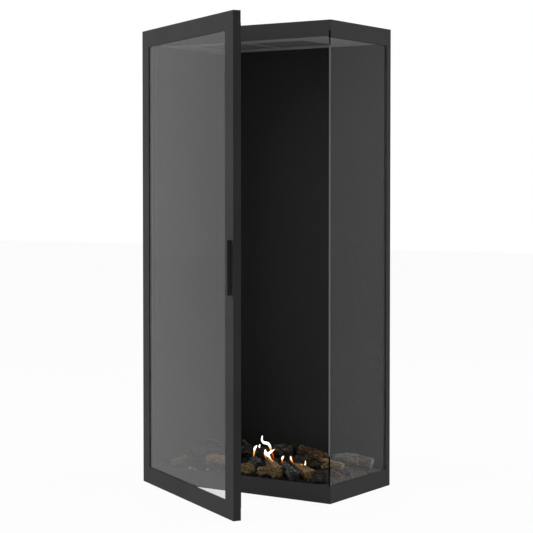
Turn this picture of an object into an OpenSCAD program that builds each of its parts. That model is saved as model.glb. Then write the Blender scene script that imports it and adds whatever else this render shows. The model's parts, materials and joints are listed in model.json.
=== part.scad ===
// Tall two-sided gas fire for a corner: glass at the front and on the right side.
// A steel body holds the burner and a bed of ceramic logs, and the front glass is a hinged door.
// Origin: middle of the body's underside. +X to the right, -Y to the front, +Z up. Millimetres.

/* [Body] */
// Width of the body
body_w = 570; // [540:1:640]
// Depth of the body, front face to back
body_d = 304; // [300:1:340]
// Height of the body
body_h = 1210; // [900:10:1400]
// Height of the bottom band
base_h = 45; // [45:1:60]
// Height of the top band on the sides
top_h = 44; // [44:1:60]
// Height of the top band at the front
top_front_h = 41; // [41:1:60]
// Width of the corner posts
post_w = 22; // [20:1:26]
// Thickness of the folded steel sheet
sheet = 1.5; // [1.2:0.1:2]

/* [Door] */
// Width of the door leaf
door_w = 572; // [540:1:642]
// Thickness of the door leaf
door_t = 20; // [18:1:26]
// Width of the stile on the handle side
stile_w = 46; // [40:0.5:60]
// Width of the stile on the hinge side
hinge_stile_w = 43.5; // [40:0.5:60]
// Height of the door's rails
rail_h = 44.5; // [40:0.5:60]
// Gap under the door leaf
door_lift = 1.5; // [1:0.5:6]
// Gap between the closed door and the body, where the seal lies
seal_gap = 2.5; // [2.4:0.1:4]
// How far the door stands open at rest, in degrees
door_open = 30; // [0:1:85]
// Length of the handle bar
handle_l = 131; // [100:1:300]

/* [Glass] */
// Thickness of both panes
glass_t = 4; // [4:0.5:5]

/* [Flue] */
// Outer radius of the exhaust spigot
inner_flue_r = 50; // [40:1:52]
// Outer radius of the air spigot
outer_flue_r = 75; // [72:1:80]

/* [Gas] */
// Radius of the hole in the gas inlet, a half inch pipe thread
gas_r = 9.3; // [6:0.1:10]

/* [Hidden] */

$fn = 48;
eps = 0.01;

// Faces of the body
right_x = body_w / 2;
left_x = -right_x;
rear_y = body_d / 2;
front_y = -rear_y;
top_z = body_h - top_h;
top_front_z = body_h - top_front_h;

// Levels inside the body, from the floor up
flange_w = 22;
bottom_flange_w = 18;
plate_t = 2;
ledge_z = base_h - 5;
hearth_z = ledge_z + sheet;
ceiling_z = body_h - 40;
roof_z = body_h - 22;
bolt_hole_r = 4.5;
bolt_spacing = [520, 240];
service_hole = [180, 100];
service_y = 76;

// Liners: the black walls of the fire chamber
liner_t = 2;
liner_y = 128;
liner_x = left_x + post_w;
chamber_left = liner_x + liner_t;
chamber_right = right_x - 9;
liner_front = front_y + 12;

// Side glass, in the slot behind the side bands
glass_out = right_x - sheet;
glass_in = glass_out - glass_t;
glass_low = ledge_z + 0.5;
glass_high = body_h - 27;
glass_front = front_y + 0.5;
glass_rear = liner_y + 0.5;
slot_slack = 0.3;
slot_high = body_h - 26;
retainer_t = 2;
retainer_x = glass_in - 1 - retainer_t;
retainer_w = 4;

// Outlet holes in the ceiling, either side of a narrow bar a little left of the middle
outlet_x = -14;
outlet_w = 171;
outlet_bar = 5;
outlet_front = -82;
outlet_rear = 79;
outlet_y = (outlet_front + outlet_rear) / 2;
outlet_lap = 3;
flue_y = -14.5;
collector_h = 12;
collector_rim = 8;
flue_wall = 1.5;
flue_flange = 12;

// Screws along the edges of the casing panels
SCREW_ZS = [for (i = [0 : 4]) base_h + 12 + i * (top_z - base_h - 24) / 4];
casing_hole_r = 2.1;
casing_screw_l = 8;
casing_screw_in = 8;

// Door hinge axis: in front of the body, near its left edge
hinge_r = 3;
pin_r = 1.6;
pin_slack = 0.05;
hinge_x = left_x + hinge_r;
hinge_y = front_y - 3.4;
hinge_half = 22;
hinge_gap = 0.3;
hinge_leaf_t = 1.8;
hinge_leaf_end = 16;
lower_hinge_z = 143;
upper_hinge_z = body_h - 143;
HINGES = [lower_hinge_z, upper_hinge_z];
pocket_slack = 1.5;

// Door leaf, drawn closed: depths run from the leaf's outer face to the back
door_left = left_x;
door_right = door_left + door_w;
door_back = front_y - seal_gap;
door_face = door_back - door_t;
door_low = door_lift;
door_high = body_h;
face_t = 1.5;
return_t = 2;
tape_t = 0.4;
back_t = 1.5;
window_low = door_low + rail_h;
window_high = door_high - rail_h;
window_left = door_left + hinge_stile_w;
window_right = door_right - stile_w;
glass_lap = 15;
tape_in = 1;
back_lap = 10;
pane_face = door_face + face_t + tape_t;
pane_back = pane_face + glass_t;
clamp_y = pane_back + tape_t;
clamp_t = 1.5;

// Screws that hold the door's retaining frame, along the middle of each stile and rail
screw_r = 1.5;
screw_l = 8;
screw_head_r = 2.9;
screw_slack = 0.1;
boss_r = 4;
boss_inset = 22;
STILE_SCREWS = [for (i = [0 : 5]) 70 + i * (body_h - 140) / 5];
RAIL_SCREWS = [for (i = [1 : 2]) door_left + i * door_w / 3];
DOOR_SCREWS = concat(
    [for (z = STILE_SCREWS) [door_left + boss_inset, z]],
    [for (z = STILE_SCREWS) [door_right - boss_inset, z]],
    [for (x = RAIL_SCREWS) [x, door_low + boss_inset]],
    [for (x = RAIL_SCREWS) [x, door_high - boss_inset]]
);

// Seal on the back of the leaf: it closes on the post, the two bands and the side pane's edge
seal_t = seal_gap - 0.3;
seal_w = 3.5;
seal_rise = 5.5;
seal_inset = 17.3;
seal_left = left_x + seal_inset;
seal_low = window_low - back_lap - seal_rise;
seal_high = window_high + back_lap + seal_rise;

// Handle bar on the right stile
handle_w = 8;
handle_d = 10.5;
handle_edge = 5;
spacer_h = 2.5;
spacer_r = 3;
handle_x = door_right - handle_edge - handle_w / 2;
handle_mid = 603.5;
handle_pitch = handle_l - 40;
handle_screw_r = 2;
handle_screw_in = 7;
nut_r = 3.5;
nut_h = 2.5;

// Magnets behind the leaf's back plate
magnet_r = 6;
magnet_l = 8;
magnet_inset = 40;
magnet_rise = 21;

// Burner, under the ember bed
tray_x = [-228, 250];
tray_y = [-112, 100];
tray_floor = 16.5;
tray_rim = 8;
burner_y = -5;
burner_z = 26;
burner_r = 7;
burner_x = [-186, 215];
port_count = 28;
port_r = 1.2;
pipe_r = 4;
pipe_x = -246;
pipe_bend = 14;
inlet_l = 16;
inlet_r = 12;
inlet_nose_r = 11.5;
inlet_depth = 12;
wall_port_r = 11.7;
pipe_port_r = 6.5;
injector_x = -206;
injector_l = 10;
nozzle_l = 8;
nozzle_r = 3;
nozzle_bore_r = 0.9;

// Pilot burner, behind the logs near the back liner
pilot_x = -10;
pilot_y = 108;
pilot_z = 61;
probe_offset = 11;
probe_h = 22;

// Ember bed: low in front and on the right, higher at the back, and let into the opening over the tray
bed_x = [-250, 264];
bed_y = [-118, 124];
bed_fill = 4;
BED_DEPTH = [[-118, 43], [-112, 48], [-60, 50], [20, 57], [90, 59], [124, 58]];
BED_WIDTH = [[-250, 59], [200, 59], [246, 47], [264, 43]];

// Places of the loose chips: x, y, z of the middle, then size
CHIPS = [
    [46, -38, 66, 9], [68, -42, 63, 8], [84, -58, 62, 8], [117, -145, 46.5, 4], [134, -142, 48, 5],
    [144, -144, 46, 3], [212, -140, 48, 6], [248, -146, 45, 2.5], [262, 112, 51, 5],
    [-106, -136, 45.5, 3.4], [-20, -146, 46, 3],
    [10, -146.5, 45.5, 3.2], [28, -146.5, 45.5, 3.4], [72, -146.5, 45.2, 3.2], [180, -144, 47, 4],
];

// A solid block between two corners
module block(low, high) {
    translate(low) cube(high - low);
}

// A flat ring in X and Y, between an outer and an inner rectangle
module flat_ring(outer, inner, z0, z1) {
    difference() {
        block([outer[0], outer[1], z0], [outer[2], outer[3], z1]);
        block([inner[0], inner[1], z0 - 1], [inner[2], inner[3], z1 + 1]);
    }
}

// An upright ring in X and Z, between an outer and an inner rectangle
module upright_ring(outer, inner, y0, y1) {
    difference() {
        block([outer[0], y0, outer[1]], [outer[2], y1, outer[3]]);
        block([inner[0], y0 - 1, inner[1]], [inner[2], y1 + 1, inner[3]]);
    }
}

// A rod along Y
module rod_y(x, z, r, y0, y1) {
    translate([x, y0, z]) rotate([-90, 0, 0]) cylinder(r = r, h = y1 - y0);
}

// A rod along X
module rod_x(y, z, r, x0, x1) {
    translate([x0, y, z]) rotate([0, 90, 0]) cylinder(r = r, h = x1 - x0);
}

// A tube that stands upright
module tube(r_out, r_in, z0, z1) {
    translate([0, 0, z0]) difference() {
        cylinder(r = r_out, h = z1 - z0, $fn = 96);
        translate([0, 0, -1]) cylinder(r = r_in, h = z1 - z0 + 2, $fn = 96);
    }
}

// Turns a piece of the closed door to where the door stands at rest
module at_door() {
    translate([hinge_x, hinge_y, 0])
        rotate([0, 0, -door_open])
            translate([-hinge_x, -hinge_y, 0]) children();
}

// Outer rectangle of the body, drawn in by d, as [x0, y0, x1, y1]
function body_rect(d) = [left_x + d, front_y + d, right_x - d, rear_y - d];

// Outer rectangle of the door leaf, drawn in by d, as [x0, z0, x1, z1]
function door_rect(d) = [door_left + d, door_low + d, door_right - d, door_high - d];

// The door's window, widened by d, as [x0, z0, x1, z1]
function window_rect(d) = [window_left - d, window_low - d, window_right + d, window_high + d];

// Outer rectangle of the door's seal, drawn in by d, as [x0, z0, x1, z1]
function seal_rect(d) = [seal_left + d, seal_low + d, glass_out - d, seal_high - d];

module base_plate() {
    color("#3a3a3c") difference() {
        block([left_x + sheet, front_y + sheet, 0], [right_x - sheet, rear_y - sheet, plate_t]);
        for (sx = [-1, 1], sy = [-1, 1])
            translate([sx * bolt_spacing[0] / 2, sy * bolt_spacing[1] / 2, -1])
                cylinder(r = bolt_hole_r, h = plate_t + 2);
        translate([0, service_y, plate_t / 2])
            cube([service_hole[0], service_hole[1], 2 * plate_t], center = true);
    }
}

module base_frame() {
    color("#353537") difference() {
        union() {
            flat_ring(body_rect(0), body_rect(sheet), 0, base_h);
            flat_ring(body_rect(eps), body_rect(flange_w), ledge_z - sheet, ledge_z);
            flat_ring(body_rect(eps), body_rect(bottom_flange_w), plate_t, plate_t + sheet);
        }
        rod_y(pipe_x, burner_z, wall_port_r, rear_y - 3, rear_y + 1);
    }
}

// A hollow square post that stands on the base frame
module post(x, y, z1) {
    difference() {
        block([x, y, base_h], [x + post_w, y + post_w, z1]);
        block([x + sheet, y + sheet, base_h - 1], [x + post_w - sheet, y + post_w - sheet, z1 + 1]);
    }
}

module front_left_post() {
    color("#353537") post(left_x, front_y, top_z);
}

module rear_left_post() {
    color("#353537") post(left_x, rear_y - post_w, top_z);
}

module rear_right_post() {
    color("#353537") post(right_x - post_w, rear_y - post_w, top_z);
}

module top_frame() {
    color("#38383a") difference() {
        union() {
            flat_ring(body_rect(0), body_rect(sheet), top_z, body_h);
            flat_ring(body_rect(eps), body_rect(flange_w), roof_z - sheet, roof_z);
        }
        block([liner_x, front_y - 1, top_z - 1], [right_x - sheet, front_y + sheet + eps, top_front_z]);
        block([glass_in - slot_slack, front_y - 1, top_z - 1],
              [glass_out, front_y + sheet + eps, slot_high]);
    }
}

module roof_plate() {
    color("#3a3a3c") difference() {
        block([left_x + sheet, front_y + sheet, roof_z], [right_x - sheet, rear_y - sheet, roof_z + sheet]);
        translate([0, flue_y, roof_z - 1]) cylinder(r = outer_flue_r - flue_wall, h = sheet + 2, $fn = 96);
    }
}

module rear_casing() {
    color("#333335") difference() {
        block([liner_x, rear_y - sheet, base_h], [-liner_x, rear_y, top_z]);
        for (sx = [-1, 1], z = SCREW_ZS)
            rod_y(sx * (-liner_x - casing_screw_in), z, casing_hole_r, rear_y - sheet - 1, rear_y + 1);
    }
}

module left_casing() {
    reach = rear_y - post_w;
    color("#333335") difference() {
        block([left_x, -reach, base_h], [left_x + sheet, reach, top_z]);
        for (sy = [-1, 1], z = SCREW_ZS)
            rod_x(sy * (reach - casing_screw_in), z, casing_hole_r, left_x - 1, left_x + sheet + 1);
    }
}

// A screw with its flat head set flush into a casing's outer face, which faces +Y
module casing_screw() {
    rotate([90, 0, 0]) cylinder(r = casing_hole_r - 0.2, h = casing_screw_l);
}

module casing_screws() {
    color("#6e6e70") {
        for (sx = [-1, 1], z = SCREW_ZS)
            translate([sx * (-liner_x - casing_screw_in), rear_y, z]) casing_screw();
        for (sy = [-1, 1], z = SCREW_ZS)
            translate([left_x, sy * (rear_y - post_w - casing_screw_in), z])
                rotate([0, 0, 90]) casing_screw();
    }
}

module rear_liner() {
    color("#1c1c1c") block([liner_x, liner_y, ledge_z], [chamber_right, liner_y + liner_t, ceiling_z]);
}

module left_liner() {
    color("#1c1c1c") block([liner_x, liner_front, ledge_z], [chamber_left, liner_y, ceiling_z]);
}

module ceiling_plate() {
    color("#4e4e50") difference() {
        union() {
            block([chamber_left, front_y + sheet, ceiling_z], [chamber_right, liner_y, ceiling_z + sheet]);
            block([chamber_left, front_y + sheet, ceiling_z],
                  [chamber_right, front_y + 2 * sheet, roof_z - sheet]);
        }
        for (side = [-1, 1])
            translate([outlet_x + side * (outlet_w + outlet_bar / 2) / 2, outlet_y, ceiling_z])
                cube([outlet_w - outlet_bar / 2, outlet_rear - outlet_front, 4 * sheet], center = true);
    }
}

// A slotted panel over one outlet hole, right of the bar between the two
module outlet_panel() {
    slot_count = 11;
    slot_w = 5;
    slot_l = outlet_rear - outlet_front - 24;
    x0 = 0.5;
    x1 = outlet_w + outlet_bar / 2 + outlet_lap;
    pitch = (x1 - x0 - 20) / slot_count;
    difference() {
        block([x0, outlet_front - outlet_lap, ceiling_z + sheet],
              [x1, outlet_rear + outlet_lap, ceiling_z + 2 * sheet]);
        for (i = [0 : slot_count - 1])
            translate([x0 + 10 + (i + 0.5) * pitch, outlet_y, ceiling_z + 1.5 * sheet])
                cube([slot_w, slot_l, 2 * sheet], center = true);
    }
}

module left_outlet_panel() {
    color("#2e2e30") translate([outlet_x, 0, 0]) mirror([1, 0, 0]) outlet_panel();
}

module right_outlet_panel() {
    color("#2e2e30") translate([outlet_x, 0, 0]) outlet_panel();
}

module flue_collector() {
    x1 = outlet_w + outlet_bar / 2 + collector_rim;
    y0 = outlet_front - collector_rim;
    y1 = outlet_rear + collector_rim;
    z0 = ceiling_z + sheet;
    color("#404042") difference() {
        block([outlet_x - x1, y0, z0], [outlet_x + x1, y1, z0 + collector_h]);
        block([outlet_x - x1 + sheet, y0 + sheet, z0 - 1],
              [outlet_x + x1 - sheet, y1 - sheet, z0 + collector_h - sheet]);
        translate([0, flue_y, z0]) cylinder(r = inner_flue_r - flue_wall, h = 2 * collector_h, $fn = 96);
    }
}

// A spigot: a tube that stands on a flat flange
module spigot(r, z0) {
    translate([0, flue_y, 0]) {
        tube(r, r - flue_wall, z0, body_h);
        tube(r + flue_flange, r - flue_wall, z0, z0 + flue_wall);
    }
}

module inner_flue_spigot() {
    color("#9a9a9c") spigot(inner_flue_r, ceiling_z + sheet + collector_h);
}

module outer_flue_spigot() {
    color("#9a9a9c") spigot(outer_flue_r, roof_z + sheet);
}

module side_glass() {
    color("#8c9094", 0.4) difference() {
        block([glass_in, glass_front, glass_low], [glass_out, glass_rear, glass_high]);
        block([glass_in - 1, front_y - 1, ledge_z], [glass_out + 1, front_y + sheet + 0.3, base_h + 0.3]);
    }
}

// The pane's edge strip, seen from the side: along the top, down the rear and along the bottom
module side_edge_strip(x0, x1) {
    difference() {
        block([x0, front_y + sheet + 0.5, ledge_z], [x1, liner_y, glass_high]);
        block([x0 - 1, front_y - 1, base_h], [x1 + 1, liner_y - retainer_w, top_z]);
    }
}

module side_glass_seal() {
    color("#262626") side_edge_strip(retainer_x + retainer_t, glass_in);
}

module side_glass_retainer() {
    color("#1e1e1e") side_edge_strip(retainer_x, retainer_x + retainer_t);
}

module hearth_plate() {
    color("#242424") difference() {
        block([chamber_left, front_y + sheet, ledge_z], [retainer_x, liner_y, hearth_z]);
        block([tray_x[0] + tray_rim, tray_y[0] + tray_rim, ledge_z - 1],
              [tray_x[1] - tray_rim, tray_y[1] - tray_rim, hearth_z + 1]);
    }
}

module burner_tray() {
    in = [tray_x[0] + tray_rim, tray_y[0] + tray_rim, tray_x[1] - tray_rim, tray_y[1] - tray_rim];
    color("#2a2a2a") difference() {
        union() {
            block([tray_x[0], tray_y[0], ledge_z - sheet], [tray_x[1], tray_y[1], ledge_z]);
            block([in[0] - sheet, in[1] - sheet, tray_floor], [in[2] + sheet, in[3] + sheet, ledge_z]);
        }
        block([in[0], in[1], tray_floor + sheet], [in[2], in[3], ledge_z + 1]);
        rod_x(burner_y, burner_z, pipe_port_r, in[0] - 3, in[0] + 1);
    }
}

module burner_tube() {
    length = burner_x[1] - burner_x[0];
    color("#77777a") difference() {
        rod_x(burner_y, burner_z, burner_r, burner_x[0], burner_x[1]);
        rod_x(burner_y, burner_z, burner_r - 1.5, burner_x[0] - 1, burner_x[1] - 1.5);
        for (i = [0 : port_count - 1])
            translate([burner_x[0] + 40 + i * (length - 60) / (port_count - 1), burner_y, burner_z])
                cylinder(r = port_r, h = burner_r + 1, $fn = 16);
    }
}

// Brass nozzle that blows gas into the burner tube's open end
module injector() {
    color("#b08d4a") difference() {
        union() {
            rod_x(burner_y, burner_z, 6, injector_x, injector_x + injector_l, $fn = 6);
            rod_x(burner_y, burner_z, nozzle_r, injector_x + injector_l, injector_x + injector_l + nozzle_l);
        }
        rod_x(burner_y, burner_z, nozzle_bore_r, injector_x - 1, injector_x + injector_l + nozzle_l + 1);
    }
}

// Steel pipe from the inlet, forward and then right to the injector
module gas_pipe() {
    turn_y = burner_y + pipe_bend;
    turn_x = pipe_x + pipe_bend;
    color("#8e8e90") {
        rod_y(pipe_x, burner_z, pipe_r, turn_y, rear_y - inlet_l);
        rod_x(burner_y, burner_z, pipe_r, turn_x, injector_x);
        translate([turn_x, turn_y, burner_z]) rotate([0, 0, 180]) rotate_extrude(angle = 90)
            translate([pipe_bend, 0]) circle(r = pipe_r);
    }
}

// Threaded socket, flush with the back of the base frame
module gas_inlet() {
    color("#b08d4a") difference() {
        union() {
            rod_y(pipe_x, burner_z, inlet_r, rear_y - inlet_l, rear_y - sheet);
            rod_y(pipe_x, burner_z, inlet_nose_r, rear_y - inlet_l, rear_y);
        }
        rod_y(pipe_x, burner_z, gas_r, rear_y - inlet_depth, rear_y + 1);
    }
}

// Pilot burner on its bracket, between the two probes
module pilot_burner() {
    color("#77777a") {
        block([pilot_x - 16, pilot_y - 5, pilot_z], [pilot_x + 16, pilot_y + 8, pilot_z + sheet]);
        translate([pilot_x, pilot_y, pilot_z + sheet]) {
            cylinder(r = 4, h = 16);
            translate([0, 0, 16]) cylinder(r1 = 6, r2 = 4, h = 5);
        }
    }
}

module ignition_electrode() {
    color("#d8d4c8") translate([pilot_x - probe_offset, pilot_y, pilot_z + sheet]) {
        cylinder(r = 2.5, h = 14);
        cylinder(r = 0.8, h = probe_h);
    }
}

module flame_sensor() {
    color("#77777a") translate([pilot_x + probe_offset, pilot_y, pilot_z + sheet]) {
        cylinder(r = 3, h = 6);
        cylinder(r = 1.6, h = probe_h);
    }
}

module ember_bed() {
    color("#1f1d1c") {
        intersection() {
            translate([bed_x[0], 0, 0]) rotate([90, 0, 90]) linear_extrude(bed_x[1] - bed_x[0])
                polygon(concat(BED_DEPTH, [[bed_y[1], hearth_z], [bed_y[0], hearth_z]]));
            translate([0, bed_y[1], 0]) rotate([90, 0, 0]) linear_extrude(bed_y[1] - bed_y[0])
                polygon(concat(BED_WIDTH, [[bed_x[1], hearth_z], [bed_x[0], hearth_z]]));
        }
        block([tray_x[0] + tray_rim, tray_y[0] + tray_rim, hearth_z - bed_fill],
              [tray_x[1] - tray_rim, tray_y[1] - tray_rim, hearth_z]);
    }
}

// How far a log's skin stands from its axis, as a share of its radius, at turn a and way t along it
function skin(a, t, seed) =
    1 + 0.09 * sin(2 * a + 67 * seed + 90 * t)
      + 0.06 * sin(3 * a - 131 * seed + 220 * t)
      + 0.03 * sin(5 * a + 29 * seed - 310 * t);

// A split log is cut flat at this share of its radius, facing turn at
function cut(a, flat, at) = cos(a - at) > 0.05 ? min(1, flat / cos(a - at)) : 1;

// A ceramic log from p to q, r and s its end radii, bowed up by bow in the middle.
// flat below 1 splits it along a plane that faces turn at: 0 is sideways, 90 is up.
module log_piece(p, q, r, s, bow = 0, flat = 1, at = 90, seed = 1, rings = 8, sides = 14) {
    way = (q - p) / norm(q - p);
    side = cross(way, [0, 0, 1]) / norm(cross(way, [0, 0, 1]));
    up = cross(side, way);
    points = [
        for (i = [0 : rings - 1], k = [0 : sides - 1])
            let (
                t = i / (rings - 1),
                a = 360 * k / sides,
                end_in = (i == 0 || i == rings - 1) ? 0.86 : 1,
                reach = (r + (s - r) * t) * skin(a, t, seed) * cut(a, flat, at) * end_in
            )
            p + (q - p) * t + side * (reach * cos(a)) + up * (reach * sin(a) + bow * sin(180 * t))
    ];
    faces = concat(
        [[for (k = [sides - 1 : -1 : 0]) k]],
        [[for (k = [0 : sides - 1]) (rings - 1) * sides + k]],
        [for (i = [0 : rings - 2], k = [0 : sides - 1])
            let (n = (k + 1) % sides, b = i * sides)
            [b + n, b + sides + n, b + sides + k, b + k]]
    );
    polyhedron(points, faces, convexity = 4);
}

module log_left_tan() {
    color("#a07a4e") log_piece([-218, -138, 54], [-203, -92, 62.5], 10, 10.5, flat = 0.7, seed = 1);
}

module log_left_grey() {
    color("#4c4a42") log_piece([-218, -50, 67], [-178, 0, 73], 14, 13, seed = 2);
}

module log_left_split() {
    color("#a8824f") log_piece([-137, -97, 64.5], [-76, -90, 65], 14.5, 14.5, flat = 0.6, at = 60, seed = 3);
}

module log_left_back() {
    color("#4a3a2c") log_piece([-242, 54, 76], [-160, 62, 78], 13, 14, seed = 4);
}

module log_back_dark() {
    color("#37302a") log_piece([-104, 6, 76], [0, 16, 78], 16, 16, seed = 5);
}

module log_front_round() {
    color("#a07c4c") log_piece([-44, -128, 58.5], [34, -129.5, 57.5], 14.5, 14.5, seed = 6);
}

module log_charred_left() {
    color("#39424a") log_piece([4, -90, 72], [38, -104, 66], 13, 12.5, bow = 2, seed = 7);
}

module log_fork() {
    color("#a9824f") {
        log_piece([47, -78, 77], [117, -138, 62.5], 8, 19, flat = 0.8, at = 90, seed = 8);
        log_piece([96, -126, 62.5], [58, -139, 58.5], 14, 10, seed = 9);
    }
}

module log_charred_middle() {
    color("#333c42") log_piece([103, -88, 67], [171, -140, 58], 12, 14.5, bow = 2, seed = 10);
}

module log_split_middle() {
    color("#a47e4e") log_piece([121, -56, 70], [203, -118, 61.5], 12, 17, flat = 0.55, at = 80, seed = 11);
}

module log_front_right() {
    color("#33322c") log_piece([222, -130, 60.5], [264, -127, 61.5], 17, 18, seed = 12);
}

module log_branch() {
    color("#9c7648") {
        log_piece([204, -60, 90], [262, -54, 79], 7, 10, flat = 0.7, seed = 13);
        log_piece([228, -58, 83], [216, -80, 76], 8, 6, seed = 19);
    }
}

module log_back_grey() {
    color("#3e3c38") log_piece([-22, 60, 79], [40, 64, 80], 15, 15, seed = 14);
}

module log_back_brown() {
    color("#543a26") log_piece([60, 62, 87], [110, 50, 80], 13, 17, seed = 15);
}

module log_back_right() {
    color("#4a3322") log_piece([126, 10, 88], [184, -6, 84], 14, 15, seed = 16);
}

module log_side_grey() {
    color("#6a6a66") log_piece([197, 1, 80], [256, 34, 79], 17, 19, bow = 3, seed = 17);
}

module log_side_brown() {
    color("#7a6052") log_piece([204, 80, 76.5], [266, 88, 64], 15.5, 15, seed = 18);
}

// Short offcuts, thin sticks and loose chips among the logs
module log_offcuts() {
    color("#2c3034") {
        for (chip = CHIPS)
            log_piece([chip[0] - chip[3], chip[1], chip[2]], [chip[0] + chip[3], chip[1] + 3, chip[2] + 1],
                      chip[3], chip[3] * 0.8, seed = chip[0], rings = 4, sides = 8);
        log_piece([92, -10, 73], [150, -30, 72], 13, 13, seed = 20, rings = 6, sides = 10);
        log_piece([168, -46, 76], [200, -56, 72], 9, 9, seed = 23, rings = 4, sides = 10);
        log_piece([38, -142, 51], [46, -145, 50], 6.8, 5.6, seed = 24, rings = 5, sides = 8);
        log_piece([-160, -145, 44.4], [-139, -140, 44.8], 2.6, 2.4, seed = 26, rings = 4, sides = 8);
        log_piece([236, -18, 62], [264, -12, 57], 11, 10, seed = 25, rings = 5, sides = 10);
        log_piece([225, -46, 60.5], [266, -66, 53], 5, 4.5, seed = 21, rings = 5, sides = 8);
        log_piece([-80, 32, 75], [-124, 60, 96], 7.5, 4, seed = 22, rings = 4, sides = 8);
    }
}

// Fixed halves of the two lift-off hinges: a knuckle and its pin, on a plate welded to the post
module hinge_brackets() {
    color("#4a4a4c") for (z = HINGES) {
        translate([hinge_x, hinge_y, z - hinge_half]) {
            cylinder(r = hinge_r, h = hinge_half - hinge_gap / 2);
            cylinder(r = pin_r, h = 2 * hinge_half - 2);
        }
        block([hinge_x, front_y - hinge_leaf_t, z - hinge_half],
              [left_x + hinge_leaf_end, front_y, z - hinge_gap / 2]);
    }
}

// Moving halves of the hinges: bored knuckles that drop over the pins
module door_hinge_knuckles() {
    color("#4a4a4c") at_door() for (z = HINGES)
        difference() {
            union() {
                translate([hinge_x, hinge_y, z + hinge_gap / 2]) cylinder(r = hinge_r, h = hinge_half);
                block([hinge_x, door_back, z + hinge_gap / 2],
                      [left_x + hinge_leaf_end, door_back + hinge_leaf_t, z + hinge_half + hinge_gap / 2]);
            }
            translate([hinge_x, hinge_y, z - 1]) cylinder(r = pin_r + pin_slack, h = hinge_half + 3);
        }
}

// Room for the hinges in the back of the door's left stile
module hinge_pockets() {
    for (z = HINGES)
        block([door_left - 1, hinge_y - hinge_r - pocket_slack, z - hinge_half - pocket_slack],
              [hinge_x + hinge_r + pocket_slack, door_back + 1, z + hinge_half + pocket_slack]);
}

// Folded front of the leaf: face plate with the window, edges turned back, and screw bosses
module door_frame() {
    color("#404042") at_door() difference() {
        union() {
            upright_ring(door_rect(0), window_rect(0), door_face, door_face + face_t);
            upright_ring(door_rect(0), door_rect(return_t), door_face, door_back - back_t);
            for (at = DOOR_SCREWS)
                rod_y(at[0], at[1], boss_r, door_face + face_t - eps, door_back - back_t);
        }
        for (at = DOOR_SCREWS)
            rod_y(at[0], at[1], screw_r + screw_slack, door_back - back_t - screw_l, door_back);
        for (dz = [-0.5, 0.5])
            rod_y(handle_x, handle_mid + dz * handle_pitch, handle_screw_r + screw_slack,
                  door_face - 1, door_face + face_t + 1);
        hinge_pockets();
    }
}

module door_glass() {
    color("#8c9094", 0.4) at_door()
        block([window_left - glass_lap, pane_face, window_low - glass_lap],
              [window_right + glass_lap, pane_back, window_high + glass_lap]);
}

// Two rings of glass tape, in front of the pane and behind it
module door_glass_seal() {
    color("#202020") at_door() {
        upright_ring(window_rect(glass_lap - tape_in), window_rect(tape_in), door_face + face_t, pane_face);
        upright_ring(window_rect(glass_lap - tape_in), window_rect(back_lap), pane_back, clamp_y);
    }
}

// Back of the leaf: a plate that closes the hollow edges and clamps the pane
module door_retaining_frame() {
    color("#3c3c3e") at_door() difference() {
        union() {
            upright_ring(door_rect(0), window_rect(back_lap), door_back - back_t, door_back);
            upright_ring(window_rect(back_lap + clamp_t), window_rect(back_lap), clamp_y, door_back);
        }
        for (at = DOOR_SCREWS)
            translate([at[0], door_back, at[1]]) rotate([90, 0, 0]) {
                translate([0, 0, -1]) cylinder(r = screw_r + screw_slack, h = back_t + 2);
                translate([0, 0, -eps])
                    cylinder(r1 = screw_head_r + screw_slack, r2 = screw_r + screw_slack, h = back_t);
            }
        hinge_pockets();
    }
}

module retaining_screws() {
    color("#2c2c2e") at_door() for (at = DOOR_SCREWS)
        translate([at[0], door_back, at[1]]) rotate([90, 0, 0]) {
            cylinder(r1 = screw_head_r, r2 = screw_r, h = back_t);
            cylinder(r = screw_r, h = screw_l);
        }
}

module door_seal() {
    color("#202020") at_door()
        upright_ring(seal_rect(0), seal_rect(seal_w), door_back, door_back + seal_t);
}

module handle() {
    bar_back = door_face - spacer_h;
    color("#242426") at_door() difference() {
        block([handle_x - handle_w / 2, bar_back - handle_d, handle_mid - handle_l / 2],
              [handle_x + handle_w / 2, bar_back, handle_mid + handle_l / 2]);
        for (dz = [-0.5, 0.5])
            rod_y(handle_x, handle_mid + dz * handle_pitch, handle_screw_r + screw_slack,
                  bar_back - handle_screw_in - 1, bar_back + 1);
    }
}

// Spacer sleeves and screws between the handle and the door's face
module handle_fixings() {
    color("#1c1c1e") at_door() for (dz = [-0.5, 0.5]) {
        z = handle_mid + dz * handle_pitch;
        rod_y(handle_x, z, spacer_r, door_face - spacer_h, door_face);
        rod_y(handle_x, z, handle_screw_r, door_face - spacer_h - handle_screw_in, door_face + face_t);
        rod_y(handle_x, z, nut_r, door_face + face_t, door_face + face_t + nut_h);
    }
}

// Magnets inside the right stile, which hold the closed door to the steel bands
module door_magnets() {
    color("#8c8c90") at_door() for (z = [door_low + magnet_rise, door_high - magnet_rise])
        rod_y(door_right - magnet_inset, z, magnet_r, door_back - back_t - magnet_l, door_back - back_t);
}

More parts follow.
